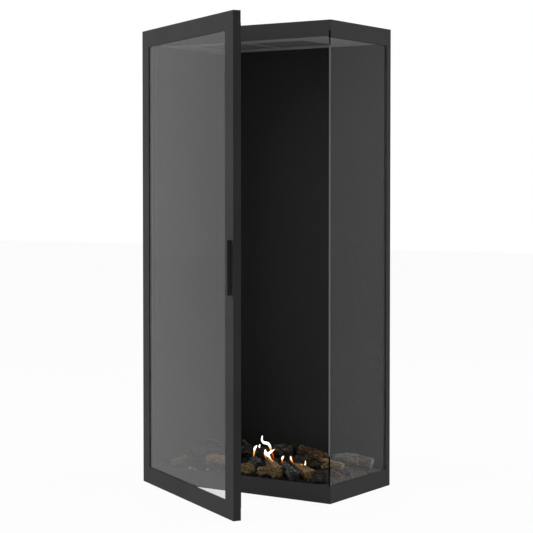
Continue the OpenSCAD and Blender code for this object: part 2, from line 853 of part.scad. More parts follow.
base_plate();
base_frame();
front_left_post();
rear_left_post();
rear_right_post();
top_frame();
roof_plate();
rear_casing();
left_casing();
casing_screws();
rear_liner();
left_liner();
ceiling_plate();
left_outlet_panel();
right_outlet_panel();
flue_collector();
inner_flue_spigot();
outer_flue_spigot();
side_glass();
side_glass_seal();
side_glass_retainer();
hearth_plate();
burner_tray();
burner_tube();
injector();
gas_pipe();
gas_inlet();
pilot_burner();
ignition_electrode();
flame_sensor();
ember_bed();
log_left_tan();
log_left_grey();
log_left_split();
log_left_back();
log_back_dark();
log_front_round();
log_charred_left();
log_fork();
log_charred_middle();
log_split_middle();
log_front_right();
log_branch();
log_back_grey();
log_back_brown();
log_back_right();
log_side_grey();
log_side_brown();
log_offcuts();
hinge_brackets();
door_frame();
door_glass();
door_glass_seal();
door_retaining_frame();
retaining_screws();
door_seal();
door_hinge_knuckles();
handle();
handle_fixings();
door_magnets();
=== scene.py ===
# %% [markdown]
# # A corner gas fireplace
# A tall steel body has glass at the front and on its right side. The front glass is a door that
# stands a little open, and behind it a small gas flame burns on a bed of ceramic logs.
# The metal comes from the CAD model. This lesson dresses it: paint, glass, wood that is really
# ceramic, embers, screws and flames.

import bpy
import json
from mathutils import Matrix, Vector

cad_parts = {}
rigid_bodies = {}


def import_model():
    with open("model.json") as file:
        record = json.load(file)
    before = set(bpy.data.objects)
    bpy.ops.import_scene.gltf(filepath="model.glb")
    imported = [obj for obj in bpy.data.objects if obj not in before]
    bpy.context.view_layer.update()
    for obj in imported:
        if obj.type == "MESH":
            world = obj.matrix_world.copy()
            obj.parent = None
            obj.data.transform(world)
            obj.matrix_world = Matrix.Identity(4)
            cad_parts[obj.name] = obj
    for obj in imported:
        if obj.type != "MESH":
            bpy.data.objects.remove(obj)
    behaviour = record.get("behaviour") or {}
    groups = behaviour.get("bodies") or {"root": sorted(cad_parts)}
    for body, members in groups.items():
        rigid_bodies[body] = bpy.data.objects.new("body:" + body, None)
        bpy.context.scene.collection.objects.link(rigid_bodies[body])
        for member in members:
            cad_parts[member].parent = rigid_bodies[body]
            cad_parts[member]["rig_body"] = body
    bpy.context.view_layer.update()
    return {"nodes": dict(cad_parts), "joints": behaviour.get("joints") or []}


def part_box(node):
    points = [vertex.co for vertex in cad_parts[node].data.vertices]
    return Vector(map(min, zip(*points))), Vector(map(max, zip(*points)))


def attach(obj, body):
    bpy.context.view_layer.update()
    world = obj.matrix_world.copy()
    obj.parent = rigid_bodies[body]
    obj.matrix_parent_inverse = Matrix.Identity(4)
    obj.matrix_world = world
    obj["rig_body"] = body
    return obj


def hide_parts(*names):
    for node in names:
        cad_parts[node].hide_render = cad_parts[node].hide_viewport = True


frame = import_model()

import json
import math

import bmesh
import bpy
import numpy as np
from mathutils import Matrix, Vector, noise

MM = 1000  # millimetres in a metre
BODY_HEIGHT = 1.21

# %% [markdown]
# ## Small helpers
# Every finish below is a node tree, and they all start alike: one Principled shader and the place
# on the piece, measured in metres. Each node is added together with what goes into it: plain
# values or the outputs of other nodes.


# %% Helpers for node trees
def feed(socket, value):
    """Links an output to the socket, or sets a plain value. Colours come without their alpha."""
    if isinstance(value, bpy.types.NodeSocket):
        socket.id_data.links.new(value, socket)
    else:
        socket.default_value = (*value, 1.0) if socket.type == "RGBA" else value


def fill(node, *in_order, **by_name):
    """Feeds a node's sockets, first in their order, then by name with _ for a space."""
    for socket, value in zip(node.inputs, in_order):
        feed(socket, value)
    for name, value in by_name.items():
        feed(node.inputs[name.replace("_", " ")], value)
    return node


def add(tree, kind, *in_order, **settings):
    """A new node. Keywords in lower case set its properties, all else goes to its sockets."""
    node = tree.nodes.new(kind)
    for key in filter(str.islower, settings):
        setattr(node, key, settings[key])
    return fill(node, *in_order, **{k: v for k, v in settings.items() if not k.islower()})


def start_finish(name):
    """A new material with its node tree, its Principled shader and its object coordinates."""
    material = bpy.data.materials.new(name)
    material.use_nodes = True
    tree = material.node_tree
    place = tree.nodes.new("ShaderNodeTexCoord").outputs["Object"]
    return material, tree, tree.nodes["Principled BSDF"], place


print("node helpers ready")


# %% Helpers for patterns and colours
def scaled(colour, share):
    """The colour, lighter or darker."""
    return tuple(c * share for c in colour)


def stretched(tree, place, scale):
    """The coordinates, scaled along each axis by its own number."""
    return add(tree, "ShaderNodeMapping", Vector=place, Scale=scale).outputs["Vector"]


def grain(tree, place, scale, detail=3.0, rough=0.55):
    """Noise on the given coordinates. A scale of 1 has features about a metre wide."""
    return add(tree, "ShaderNodeTexNoise", Vector=place, Scale=scale, Detail=detail,
               Roughness=rough).outputs["Fac"]


def ramp(tree, value, stops):
    """A colour ramp from (position, colour) stops. A single number is a grey."""
    node = add(tree, "ShaderNodeValToRGB", value)
    elements = node.color_ramp.elements
    while len(elements) < len(stops):
        elements.new(0.5)
    for element, (at, colour) in zip(elements, stops):
        element.position = at
        element.color = (*(colour if isinstance(colour, tuple) else (colour,) * 3), 1.0)
    return node.outputs["Color"]


def blend_colours(tree, share, first, second, kind="MIX"):
    """Mixes two colours by a share. 0, 6 and 7 are the Mix node's sockets for colour."""
    node = add(tree, "ShaderNodeMix", data_type="RGBA", blend_type=kind)
    for index, value in ((0, share), (6, first), (7, second)):
        feed(node.inputs[index], value)
    return node.outputs[2]


def reckon(tree, operation, first, second):
    """A sum on two numbers."""
    return add(tree, "ShaderNodeMath", first, second, operation=operation).outputs[0]


def show_blend(tree, share, first, second, output="Material Output"):
    """Sends out the first shader where share is 0, the second where it is 1."""
    node = add(tree, "ShaderNodeMixShader", share, first.outputs[0], second.outputs[0])
    fill(tree.nodes[output], node.outputs[0])
    return node


def add_bump(tree, shader, height, distance, strength=1.0, under=None):
    """Feeds a height into the shader's normal, over another bump if one is given."""
    node = add(tree, "ShaderNodeBump", Height=height, Distance=distance, Strength=strength)
    if under is not None:
        fill(node, Normal=under)
    fill(shader, Normal=node.outputs["Normal"])
    return node.outputs["Normal"]


print("pattern helpers ready")

# %% [markdown]
# ## Powder coat
# The folded steel is sprayed with dry paint and baked. The paint flows into a fine orange peel and
# keeps a faint sparkle of rough and smooth spots. Two noises do it: a fine one for the peel and a
# broad one that shifts the tone by a few per cent, so that no panel is one flat colour.


# %% Paint finishes
PAINT_SHINE = 0.05
PEEL_SCALE, PEEL_HEIGHT = 1400.0, 0.00012


def powder_coat(name, colour, roughness=0.6, peel=1.0, tone=0.1):
    """Baked paint. peel is the height of its texture, tone how far its colour wanders."""
    material, tree, shader, place = start_finish(name)
    fine = grain(tree, place, PEEL_SCALE, 2.0)
    wide = ramp(tree, grain(tree, place, 5.0, 4.0),
                [(0.3, scaled(colour, 1 - tone)), (0.7, scaled(colour, 1 + tone))])
    speck = ramp(tree, fine, [(0.35, 0.88), (0.65, 1.0)])
    fill(shader, Specular_IOR_Level=PAINT_SHINE,
         Base_Color=blend_colours(tree, 1.0, wide, speck, "MULTIPLY"),
         Roughness=ramp(tree, fine, [(0.2, roughness - 0.08), (0.8, roughness + 0.1)]))
    add_bump(tree, shader, fine, PEEL_HEIGHT * peel)
    return material


casing_paint = powder_coat("casing_paint", (0.044, 0.044, 0.046))
door_paint = powder_coat("door_paint", (0.041, 0.041, 0.0415))
chamber_black = powder_coat("chamber_black", (0.0265, 0.0265, 0.0265), 0.85, 1.6, 0.05)
ceiling_paint = powder_coat("ceiling_paint", (0.26, 0.26, 0.26), 0.7)
panel_paint = powder_coat("panel_paint", (0.15, 0.15, 0.15), 0.75)
handle_black = powder_coat("handle_black", (0.022, 0.022, 0.022), 0.38, 0.5)
print("paints:", [m.name for m in bpy.data.materials if "paint" in m.name or "black" in m.name])

# %% [markdown]
# ## Bare metals
# The flue spigots are rolled zinc-coated sheet: its crystals freeze into angular spangles, which a
# Voronoi pattern gives at once. The burner tube and pipe are drawn steel with marks along them,
# browned by heat. The brass fittings are turned, with faint rings.


# %% Metal finishes
SPANGLE_SCALE = 140.0
TOOL_MARK_SCALE = 60.0
HEAT_BROWN = (0.62, 0.5, 0.42)


def zinc_sheet(name, colour):
    """Zinc-coated sheet with spangles of a few millimetres."""
    material, tree, shader, place = start_finish(name)
    cells = add(tree, "ShaderNodeTexVoronoi", Vector=place, Scale=SPANGLE_SCALE).outputs["Color"]
    fill(shader, Metallic=1.0,
         Base_Color=ramp(tree, cells, [(0.2, scaled(colour, 0.72)), (0.8, colour)]),
         Roughness=ramp(tree, cells, [(0.2, 0.32), (0.8, 0.48)]))
    add_bump(tree, shader, grain(tree, place, 500.0), 0.00006)
    return material


def worked_metal(name, colour, stretch, roughness=0.35):
    """Drawn or turned metal: noise that is stretched along the marks of the tool."""
    material, tree, shader, place = start_finish(name)
    lines = grain(tree, stretched(tree, place, stretch), TOOL_MARK_SCALE, 4.0)
    base = ramp(tree, lines, [(0.3, scaled(colour, 0.7)), (0.7, colour)])
    browned = tuple(c * k for c, k in zip(colour, HEAT_BROWN))
    fill(shader, Metallic=1.0,
         Base_Color=blend_colours(tree, grain(tree, place, 14.0), base, browned),
         Roughness=ramp(tree, lines, [(0.2, roughness - 0.1), (0.8, roughness + 0.15)]))
    add_bump(tree, shader, lines, 0.00005)
    return material


flue_steel = zinc_sheet("flue_steel", (0.55, 0.56, 0.57))
burner_steel = worked_metal("burner_steel", (0.48, 0.46, 0.43), (1.0, 14.0, 14.0))
brass = worked_metal("turned_brass", (0.72, 0.53, 0.24), (8.0, 40.0, 8.0), 0.3)
screw_steel = worked_metal("screw_steel", (0.16, 0.16, 0.165), (20.0, 20.0, 20.0), 0.42)
magnet_nickel = worked_metal("magnet_nickel", (0.62, 0.61, 0.58), (10.0, 10.0, 10.0), 0.2)
print("metals ready")

# %% [markdown]
# ## Seals and the electrode's ceramic
# The panes lie on woven glass-fibre tape. Two crossing waves make its weave, about a millimetre
# from thread to thread. The electrode's insulator is fired white ceramic with a few specks.

# %% Tape and insulator
seal_tape, tree, shader, place = start_finish("seal_tape")
threads = [add(tree, "ShaderNodeTexWave", Vector=place, Scale=320.0, Distortion=0.6,
               wave_type="BANDS", bands_direction=axis).outputs["Fac"] for axis in ("X", "Z")]
weave = reckon(tree, "MAXIMUM", *threads)
fill(shader, Base_Color=ramp(tree, weave, [(0.3, 0.016), (0.9, 0.040)]), Roughness=0.9,
     Sheen_Weight=0.15)
add_bump(tree, shader, weave, 0.0003)

insulator, tree, shader, place = start_finish("electrode_ceramic")
specks = ramp(tree, grain(tree, place, 700.0),
              [(0.3, (0.45, 0.42, 0.36)), (0.5, (0.72, 0.69, 0.62))])
fill(shader, Base_Color=specks, Roughness=0.35)
add_bump(tree, shader, grain(tree, place, 300.0), 0.00005)
print("seal tape and insulator ready")

# %% [markdown]
# ## Glass
# Both panes are clear heat-resistant glass, 4 mm thick, and the door's is greyer. A Principled
# shader with full transmission bends and mirrors as glass does. Lamps can't shine through bent
# glass without noise, so rays that look for a lamp see a plain Transparent shader instead.
# The side pane's front edge gets its own flat shader, chosen by height, with the light seen in the
# edge painted on: painted light along its open length, and painted shade near both ends, where it
# goes into the bands.


# %% Pane finishes
def pane_glass(name, tint, ior):
    """Clear glass that lets lamps through, with faint streaks in its tint from the last wipe."""
    material, tree, shader, place = start_finish(name)
    streak = grain(tree, stretched(tree, place, (3.0, 3.0, 0.8)), 5.0, 4.0, 0.6)
    fill(shader, Transmission_Weight=1.0, Roughness=0.0, IOR=ior,
         Base_Color=ramp(tree, streak, [(0.3, scaled(tint, 0.985)), (0.7, tint)]))
    clear = add(tree, "ShaderNodeBsdfTransparent", Color=tint)
    path = tree.nodes.new("ShaderNodeLightPath")
    glass = show_blend(tree, path.outputs["Is Shadow Ray"], shader, clear)
    return material, tree, glass, place


door_pane, *_ = pane_glass("door_glass", (0.73, 0.732, 0.735), 1.23)
side_pane, tree, glass, place = pane_glass("side_glass", (0.96, 0.962, 0.965), 1.144)
print("panes:", door_pane.name, side_pane.name)

# %% Front edge of the side pane, with painted light and shade
EDGE_DEPTH = 0.0002
EDGE_PAINTED_SHADE, EDGE_PAINTED_LIGHT = 0.002, 0.21
# Painted light along the edge's open length, painted shade where it goes into the bands.
EDGE_LIGHT_AND_SHADE_STOPS = [(0.0, EDGE_PAINTED_SHADE), (0.098, EDGE_PAINTED_SHADE), (0.102, EDGE_PAINTED_LIGHT), (0.946, EDGE_PAINTED_LIGHT),
              (0.950, EDGE_PAINTED_SHADE)]  # by share of the body's height
parts = add(tree, "ShaderNodeSeparateXYZ", place).outputs
at_edge = reckon(tree, "LESS_THAN", parts["Y"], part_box("side_glass")[0].y + EDGE_DEPTH)
height = add(tree, "ShaderNodeMapRange", Value=parts["Z"], From_Max=BODY_HEIGHT).outputs[0]
# The edge's flat shader: its colour is painted light and painted shade.
painted_light_and_shade = add(tree, "ShaderNodeBsdfPrincipled", Base_Color=ramp(tree, height, EDGE_LIGHT_AND_SHADE_STOPS),
             Roughness=0.5, Specular_IOR_Level=0.0)
show_blend(tree, at_edge, glass, painted_light_and_shade)
print("ground edge is", round(EDGE_DEPTH * MM, 2), "mm deep")

# %% [markdown]
# ## Dressing the CAD nodes
# A CAD node keeps its mesh and only gets a finish. The table below says which finish goes on which
# node. Nodes that are rebuilt further down are dressed there.

# %% Finish for each CAD node
FINISHES = [
    (casing_paint, ["base_plate", "roof_plate", "rear_casing", "left_casing"]),
    (door_paint, ["hinge_brackets", "door_hinge_knuckles"]),
    (chamber_black, ["rear_liner", "left_liner", "hearth_plate", "side_glass_retainer",
                     "burner_tray"]),
    (ceiling_paint, ["ceiling_plate", "flue_collector"]),
    (panel_paint, ["left_outlet_panel", "right_outlet_panel"]),
    (flue_steel, ["inner_flue_spigot", "outer_flue_spigot"]),
    (door_pane, ["door_glass"]),
    (side_pane, ["side_glass"]),
    (seal_tape, ["side_glass_seal", "door_seal", "door_glass_seal"]),
    (burner_steel, ["burner_tube", "gas_pipe", "pilot_burner", "flame_sensor"]),
    (brass, ["injector", "gas_inlet"]),
    (insulator, ["ignition_electrode"]),
    (handle_black, ["handle_fixings"]),
    (magnet_nickel, ["door_magnets"]),
]


def dress(piece, material):
    """Makes material the piece's only finish."""
    piece.data.materials.clear()
    piece.data.materials.append(material)


for material, names in FINISHES:
    for name in names:
        dress(frame["nodes"][name], material)
print("dressed", sum(len(names) for _, names in FINISHES), "CAD nodes")

# %% [markdown]
# ## Folded sheet with soft edges
# A folded edge is never sharp: the sheet bends round a radius about as big as its thickness, and
# that radius catches a thin line of light. The CAD solids have sharp edges, so each visible frame
# is copied, its loose triangles are merged back into whole faces, and a Bevel modifier rounds it.
# The copy replaces the node and rides on the same body.


# %% Helpers for new pieces
def new_object(name, data):
    """A new object in the scene, at the origin."""
    thing = bpy.data.objects.new(name, data)
    bpy.context.scene.collection.objects.link(thing)
    return thing


def baked_copy(piece):
    """The piece with its modifiers worked into a plain mesh."""
    bpy.context.view_layer.update()
    graph = bpy.context.evaluated_depsgraph_get()
    mesh = bpy.data.meshes.new_from_object(piece.evaluated_get(graph))
    piece.modifiers.clear()
    piece.data = mesh
    return piece


def hand_over(piece, node, material):
    """Dresses a finished piece, puts it on the node's body and lets it stand for the node."""
    dress(piece, material)
    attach(piece, frame["nodes"][node]["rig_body"])
    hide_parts(node)
    return piece


print("piece helpers ready")

# %% Round the edges of the folded frames
SAME_POINT = 1e-6
FLAT_WITHIN, SHARP_FROM = math.radians(1.0), math.radians(50)


def soft_edged(node, name, radius, steps):
    """A copy of a CAD node whose edges are rounded."""
    mesh = bpy.data.meshes.new(name)
    shape = bmesh.new()
    shape.from_mesh(frame["nodes"][node].data)
    bmesh.ops.remove_doubles(shape, verts=shape.verts, dist=SAME_POINT)
    bmesh.ops.dissolve_limit(shape, angle_limit=FLAT_WITHIN, verts=shape.verts, edges=shape.edges)
    shape.to_mesh(mesh)
    shape.free()
    piece = new_object(name, mesh)
    bevel = piece.modifiers.new("rounding", "BEVEL")
    bevel.width, bevel.segments = radius, steps
    bevel.limit_method, bevel.angle_limit = "ANGLE", SHARP_FROM
    return baked_copy(piece)


for node, name, slot, material, radius, steps in (
    ("base_frame", "folded_base_frame", "casing_paint", casing_paint, 0.0005, 2),
    ("top_frame", "folded_top_frame", "casing_paint", casing_paint, 0.0005, 2),
    ("front_left_post", "folded_front_left_post", "casing_paint", casing_paint, 0.0006, 2),
    ("rear_left_post", "folded_rear_left_post", "casing_paint", casing_paint, 0.0006, 2),
    ("rear_right_post", "folded_rear_right_post", "casing_paint", casing_paint, 0.0006, 2),
    ("door_frame", "folded_door_frame", "door_paint", door_paint, 0.0007, 2),
    ("door_retaining_frame", "folded_retaining_frame", "door_paint", door_paint, 0.0004, 2),
    ("handle", "handle_bar", "handle_black", handle_black, 0.0012, 3),
):
    piece = hand_over(soft_edged(node, name, radius, steps), node, material)
    print(name, len(piece.data.polygons), "faces")

# %% [markdown]
# ## Screws
# Sixteen countersunk screws hold the door's retaining frame and twenty hold the casing panels.
# Drawing one and repeating it is a job for Geometry Nodes: the tree makes a head, a shank and a
# hexagon socket, cuts the socket out, and stands one on each point of a small mesh. Each point
# carries the direction its head faces. The ember bed's crumbs are made in the same manner, so the
# start and the end of a tree, and its run, are helpers.


# %% Helpers for Geometry Nodes
def open_tree(name, base, numbers, result):
    """A tree with a geometry input, named number inputs and one output. Gives its inputs too."""
    tree = bpy.data.node_groups.new(name, "GeometryNodeTree")
    for label, kind in {base: "Geometry", **numbers}.items():
        tree.interface.new_socket(label, in_out="INPUT", socket_type="NodeSocket" + kind)
    tree.interface.new_socket(result, in_out="OUTPUT", socket_type="NodeSocketGeometry")
    return tree, tree.nodes.new("NodeGroupInput").outputs


def end_tree(tree, instances, material):
    """Makes the instances real, paints them and sends them out."""
    real = add(tree, "GeometryNodeRealizeInstances", instances)
    painted = add(tree, "GeometryNodeSetMaterial", Geometry=real.outputs[0], Material=material)
    fill(tree.nodes.new("NodeGroupOutput"), painted.outputs[0])
    print(tree.name, "has", len(tree.nodes), "nodes")


def run_tree(piece, tree, sizes):
    """Runs the tree on the piece with these sizes and keeps the plain mesh that it makes."""
    modifier = piece.modifiers.new(tree.name, "NODES")
    modifier.node_group = tree
    for socket in tree.interface.items_tree:
        if socket.in_out == "INPUT" and socket.name in sizes:
            modifier[socket.identifier] = sizes[socket.name]
    return baked_copy(piece)


def mark(mesh, name, values):
    """Stores a number or a direction at each of the mesh's points."""
    values = np.array(values, float)
    kind, field = ("FLOAT", "value") if values.ndim == 1 else ("FLOAT_VECTOR", "vector")
    mesh.attributes.new(name, kind, "POINT").data.foreach_set(field, values.ravel())


print("tree helpers ready")

# %% Geometry Nodes tree for a screw on every point
ROUND_SIDES, HEXAGON = 24, 6
SCREW_SIZES = ("Head radius", "Shank radius", "Head height", "Length", "Socket radius")
screws, given = open_tree("screws_on_points", "Points", dict.fromkeys(SCREW_SIZES, "Float"),
                          "Screws")


def moved_by(mesh, size, share):
    """The mesh, moved along its axis by a share of one of the screw's sizes."""
    up = add(screws, "ShaderNodeCombineXYZ", Z=reckon(screws, "MULTIPLY", given[size], share))
    return add(screws, "GeometryNodeTransform", Geometry=mesh.outputs["Mesh"],
               Translation=up.outputs[0]).outputs[0]


head = add(screws, "GeometryNodeMeshCone", Vertices=ROUND_SIDES, Depth=given["Head height"],
           Radius_Bottom=given["Shank radius"], Radius_Top=given["Head radius"])
shank = add(screws, "GeometryNodeMeshCylinder", Vertices=ROUND_SIDES,
            Radius=given["Shank radius"], Depth=given["Length"])
socket = add(screws, "GeometryNodeMeshCylinder", Vertices=HEXAGON, Radius=given["Socket radius"],
             Depth=reckon(screws, "MULTIPLY", given["Head height"], 1.6))
body = add(screws, "GeometryNodeMeshBoolean", operation="UNION",
           Mesh_2=moved_by(head, "Head height", -1.0))
fill(body, Mesh_2=moved_by(shank, "Length", -0.5))
cut = add(screws, "GeometryNodeMeshBoolean", operation="DIFFERENCE",
          Mesh_1=body.outputs["Mesh"], Mesh_2=socket.outputs["Mesh"])
facing = add(screws, "GeometryNodeInputNamedAttribute", data_type="FLOAT_VECTOR", Name="facing")
turn = add(screws, "FunctionNodeAlignRotationToVector", axis="Z",
           Vector=facing.outputs["Attribute"])
stand = add(screws, "GeometryNodeInstanceOnPoints", Points=given["Points"],
            Instance=cut.outputs["Mesh"], Rotation=turn.outputs[0])
end_tree(screws, stand.outputs[0], screw_steel)

# %% [markdown]
# The door's screws are given as if the door were shut, then turned with it. The hinge axis and the
# opening angle are the CAD model's own, read from its joint. The screws stand in the CAD model's
# holes: along the stiles and rails of the leaf, and along the edges of the panels.

# %% Place the screws
joint = frame["joints"][0]
hinge = Vector(joint["pos_m"])
open_now = math.radians(-joint["range_deg"][0])
to_rest = (Matrix.Translation(hinge) @ Matrix.Rotation(-open_now, 4, "Z")
           @ Matrix.Translation(-hinge))


def evenly(first, span, count):
    """count places in even steps, the last one span after the first."""
    return [first + i * span / (count - 1) for i in range(count)]


def screw_set(name, places, sizes, node):
    """Stands a screw at each (place, facing) and hands the result over for the node."""
    mesh = bpy.data.meshes.new(name)
    mesh.from_pydata([place for place, _ in places], [], [])
    mark(mesh, "facing", [facing for _, facing in places])
    piece = run_tree(new_object(name, mesh), screws, dict(zip(SCREW_SIZES, sizes)))
    hand_over(piece, node, screw_steel)
    print(name, len(places), "screws,", len(piece.data.polygons), "faces")


LEAF_LEFT, LEAF_RIGHT, LEAF_LOW, LEAF_HIGH, LEAF_BACK = -0.285, 0.287, 0.0015, 1.21, -0.1545
BOSS_INSET = 0.022
stiles = [(x, LEAF_BACK, z) for x in (LEAF_LEFT + BOSS_INSET, LEAF_RIGHT - BOSS_INSET)
          for z in evenly(0.070, 1.070, 6)]
rails = [(x, LEAF_BACK, z) for x in evenly(LEAF_LEFT, LEAF_RIGHT - LEAF_LEFT, 4)[1:3]
         for z in (LEAF_LOW + BOSS_INSET, LEAF_HIGH - BOSS_INSET)]
faces_back = (to_rest.to_3x3() @ Vector((0, 1, 0))).normalized()
screw_set("door_screws", [(to_rest @ Vector(place), faces_back) for place in stiles + rails],
          (0.0029, 0.0015, 0.0015, 0.008, 0.0013), "retaining_screws")

REAR_FACE, LEFT_FACE = 0.152, -0.285
REAR_COLUMN, LEFT_COLUMN = 0.255, 0.122
heights = evenly(0.057, 1.097, 5)
panel = [(Vector((side * REAR_COLUMN, REAR_FACE, z)), (0, 1, 0)) for side in (-1, 1)
         for z in heights]
panel += [(Vector((LEFT_FACE, side * LEFT_COLUMN, z)), (-1, 0, 0)) for side in (-1, 1)
          for z in heights]
screw_set("panel_screws", panel, (0.0019, 0.00175, 0.0012, 0.008, 0.0012), "casing_screws")

# %% [markdown]
# ## Wood that is ceramic
# The logs are moulded ceramic fibre, painted by hand: split wood with pale faces, bark, and wood
# charred to blue-grey blocks. Each log follows the CAD model's own rule, a bent and lumpy rod that
# may be split flat, but with far smaller faces. Relief is real geometry, because it shows in the
# outline: long fibres on split wood, ridges on bark, and square cracks on charred wood.
# How high each point stands is kept as an attribute, so the paint, and the painted shade with it,
# can sit in the grooves.


# %% Outline and relief of a log
def skin(a, t, seed):
    """The CAD model's rule for a log's outline: a share of its radius at turn a and way t."""
    d = math.radians
    return (1 + 0.09 * np.sin(2 * a + d(67 * seed + 90 * t))
            + 0.06 * np.sin(3 * a - d(131 * seed) + d(220 * t))
            + 0.03 * np.sin(5 * a + d(29 * seed) - d(310 * t)))


def relief(kind, along, round_, seed):
    """Height of the surface from 0, a groove, to 1, a ridge. along and round_ are in metres.
    Soft waves and cracked cells make it, at so many to a metre along and round the log."""
    def waves(per_along, per_round, layer=1):
        return noise.noise(Vector((along * per_along, round_ * per_round, seed * layer)))

    def cells(per_along, per_round, bend=0.0):
        at = Vector((along * per_along, (round_ + bend) * per_round, seed * 7.3))
        near = noise.voronoi(at, distance_metric="DISTANCE", exponent=2.5)[0]
        return near[1] - near[0]

    if kind == "split":
        broad = waves(11, 230, 5.7)
        torn = math.floor(broad * 5) / 5
        return 0.52 + 0.30 * waves(34, 1100, 3.1) + 0.25 * broad + 0.35 * torn
    if kind == "bark":
        ridge = min(1.0, cells(42, 150, 0.003 * waves(70, 60)) * 2.2)
        return 0.62 * ridge + 0.2 + 0.42 * waves(160, 420)
    block = min(1.0, cells(105, 120) * 3.0)
    return 0.72 * block + 0.12 + 0.3 * waves(420, 420)


RELIEF_DEPTH = {"split": 0.0020, "bark": 0.0036, "charred": 0.0040}
LUMP_DEPTH = {"split": 0.0026, "bark": 0.0034, "charred": 0.0044}
LUMP_SCALE = 75
print("relief, in metres:", RELIEF_DEPTH)

# %% [markdown]
# A rod is a row of rings with a sawn cap at each end. Beside its place, each point gets three
# attributes for the paint: how high it stands, its place along and round the fibres, and whether
# it lies on the outside (0), on a split face (1) or on a sawn end (2).

# %% Shape of one log
FEWEST_RINGS, MOST_RINGS = 12, 96
NARROWING, NARROWED_LENGTH = 0.14, 0.006
CAP_STEPS = (0.8, 0.6, 0.4, 0.2)
CAP_ROUGHNESS = 0.0016
YEAR_RINGS = 2600
LAYER_STEP = 0.37


def log_parts(p, q, r, s, kind, seed, bow=0.0, flat=1.0, at=90.0, across=64, pitch=0.0011):
    """A rod from p to q with radii r and s: its points with their attributes, and its faces.
    bow bends it, flat is the share of its radius left on the side at, all as in the CAD model."""
    p, q = Vector(p) / MM, Vector(q) / MM
    r, s, bow, at = r / MM, s / MM, bow / MM, math.radians(at)
    way = (q - p).normalized()
    side = way.cross(Vector((0, 0, 1))).normalized()
    up = side.cross(way)
    length = (q - p).length
    rings = max(FEWEST_RINGS, min(MOST_RINGS, int(length / pitch)))
    turns = [2 * math.pi * k / across for k in range(across)]
    after = [*range(1, across), 0]
    layer = seed * LAYER_STEP
    points, faces = [], []
    for i in range(rings + 1):
        t = i / rings
        edge = min(1.0, min(t, 1 - t) * length / NARROWED_LENGTH)
        shoulder = 1 - NARROWING + NARROWING * edge ** 0.6
        for a in turns:
            reach = (r + (s - r) * t) * skin(a, t, seed)
            round_ = a * 0.5 * (r + s)
            faced = math.cos(a - at)
            split = flat < 1 and faced > 0.05 and flat / faced < 1
            if split:
                reach *= flat / faced
                round_ = reach * math.sin(a - at)
            this = "split" if split else kind
            h = relief(this, t * length, round_, seed)
            out = side * math.cos(a) + up * math.sin(a)
            spot = p + (q - p) * t + out * reach
            lump = LUMP_DEPTH[this] * noise.noise(spot * LUMP_SCALE + Vector((seed, 0, 0)))
            reach = reach * shoulder + RELIEF_DEPTH[this] * (h - 0.7) + lump
            points.append((p + (q - p) * t + out * reach + up * bow * math.sin(math.pi * t),
                           h, (t * length, round_, layer), float(split)))
    for b in range(0, rings * across, across):
        faces += [(b + n, b + across + n, b + across + k, b + k) for k, n in enumerate(after)]
    for base, sign in ((0, -1), (rings * across, 1)):
        rim = [point[0] for point in points[base:base + across]]
        centre = sum(rim, Vector()) / across
        last = base
        for step in CAP_STEPS:
            start = len(points)
            for a, spot in zip(turns, rim):
                ring = (spot - centre).length * step
                spot = centre + (spot - centre) * step
                rough = noise.noise(spot * 260) * CAP_ROUGHNESS
                year = 0.5 + 0.5 * math.sin(ring * YEAR_RINGS + 2 * noise.noise(spot * 200))
                points.append((spot + way * (rough * (1 - step ** 3) + sign * -0.0004),
                               0.62 + 0.3 * year, (ring, a * 0.004, layer), 2.0))
            quads = [(last + k, last + n, start + n, start + k) for k, n in enumerate(after)]
            faces += [quad[::sign] for quad in quads]
            last = start
        points.append((centre + way * sign * -0.0006, 0.7, (0.0, 0.0, layer), 2.0))
        tip = len(points) - 1
        faces += [(last + k, last + n, tip)[::sign] for k, n in enumerate(after)]
    return points, faces


def log_piece(name, rods, material, node):
    """Joins one or more rods into a piece that stands for the CAD node."""
    points, faces = [], []
    for rod in rods:
        more_points, more_faces = log_parts(**rod)
        faces += [tuple(i + len(points) for i in face) for face in more_faces]
        points += more_points
    places, height, fibre, cut = zip(*points)
    mesh = bpy.data.meshes.new(name)
    mesh.from_pydata(places, [], faces)
    for label, values in (("relief", height), ("fibre", fibre), ("cut", cut)):
        mark(mesh, label, values)
    mesh.shade_smooth()
    return hand_over(new_object(name, mesh), node, material)


print("log rule ready")

# %% [markdown]
# One finish builder serves all the logs and reads their three attributes. Grooves are dark and
# ridges light: partly the logs' own paint, partly painted shade in the grooves and painted
# highlight on the ridges. Split faces and sawn ends show pale wood with darker streaks along the
# fibres, and the deepest tears in a split face are darkened as painted shade. Patches and a little
# soot, both from broad noise, keep two logs from looking alike.


# %% Finish for painted ceramic wood
FIBRES = (26.0, 620.0, 1.0)  # to a metre, along and across
SOOT = (0.012, 0.012, 0.012)


